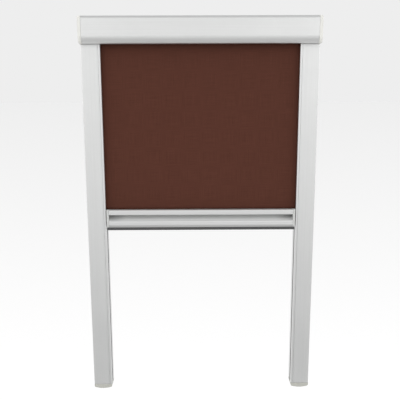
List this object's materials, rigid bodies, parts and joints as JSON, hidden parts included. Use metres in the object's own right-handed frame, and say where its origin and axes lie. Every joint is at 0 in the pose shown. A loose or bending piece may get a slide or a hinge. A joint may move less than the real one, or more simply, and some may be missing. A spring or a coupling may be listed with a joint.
{
  "type": "skylight blind",
  "caption": "Roller blind for a skylight, with an aluminium cassette, a spring roller, side rails, brown cloth and a sliding grip bar with a finger recess.",
  "frame": {"origin": "centre of the rear face of the cassette's back plate, which rests on the window sash", "axes": "+Y out of the back towards the window, +Z along the rails towards the cassette, +X to the right as seen from the room"},
  "size_m": [0.49, 0.054, 0.817],
  "materials": {
    "silver_aluminium": "satin anodised",
    "light_grey_plastic": "matte",
    "black_pile": "brushed pile",
    "brown_cloth": "woven, light-proof",
    "zinc_steel": "zinc plated",
    "brass": "turned",
    "black_rubber": "matte",
    "natural_nylon": "moulded",
    "white_cord": "braided"
  },
  "bodies": {
    "frame": {"cassette_cover": "silver_aluminium", "cassette_back_plate": "silver_aluminium", "left_end_cap": "light_grey_plastic", "right_end_cap": "light_grey_plastic", "left_roller_bracket": "zinc_steel", "right_roller_bracket": "zinc_steel", "left_upper_bracket_screw": "zinc_steel", "left_lower_bracket_screw": "zinc_steel", "right_upper_bracket_screw": "zinc_steel", "right_lower_bracket_screw": "zinc_steel", "left_rail_base": "silver_aluminium", "right_rail_base": "silver_aluminium", "left_rail_cover": "silver_aluminium", "right_rail_cover": "silver_aluminium", "left_rail_screw": "zinc_steel", "right_rail_screw": "zinc_steel", "left_foot_screw": "zinc_steel", "right_foot_screw": "zinc_steel", "left_front_pile_seal": "black_pile", "left_rear_pile_seal": "black_pile", "right_front_pile_seal": "black_pile", "right_rear_pile_seal": "black_pile", "left_rail_foot": "light_grey_plastic", "right_rail_foot": "light_grey_plastic", "left_cord_anchor": "brass", "right_cord_anchor": "brass", "left_tension_cord": "white_cord", "right_tension_cord": "white_cord", "idler_pin": "zinc_steel", "spring_shaft": "zinc_steel", "spring_collar": "natural_nylon", "torsion_spring": "zinc_steel", "cloth": "brown_cloth"},
    "roller": {"roller_tube": "silver_aluminium", "cloth_key_strip": "natural_nylon", "cloth_roll": "brown_cloth", "idler_plug": "natural_nylon", "drive_plug": "natural_nylon", "idler_bush": "brass", "drive_bush": "brass"},
    "bar": {"grip_bar": "silver_aluminium", "cloth_rod": "natural_nylon", "bottom_seal": "black_rubber", "front_cross_cord": "white_cord", "rear_cross_cord": "white_cord", "left_bar_cap": "light_grey_plastic", "right_bar_cap": "light_grey_plastic", "left_upper_bar_screw": "zinc_steel", "left_lower_bar_screw": "zinc_steel", "right_upper_bar_screw": "zinc_steel", "right_lower_bar_screw": "zinc_steel", "left_slide_shoe": "natural_nylon", "right_slide_shoe": "natural_nylon"}
  },
  "joints": [
    {"name": "bar_slide", "type": "slide", "parent": "frame", "child": "bar", "axis": [0, 0, 1], "range_m": [-0.3674, 0.3421], "deforming": ["cloth"]},
    {"name": "roller_spin", "type": "hinge", "parent": "frame", "child": "roller", "pos_m": [0, -0.03436, 0], "axis": [1, 0, 0], "range_deg": [-1420, 1330]}
  ],
  "couplings": [
    {"joint": "roller_spin", "follows": "bar_slide", "rad_per_m": 67.3}
  ]
}
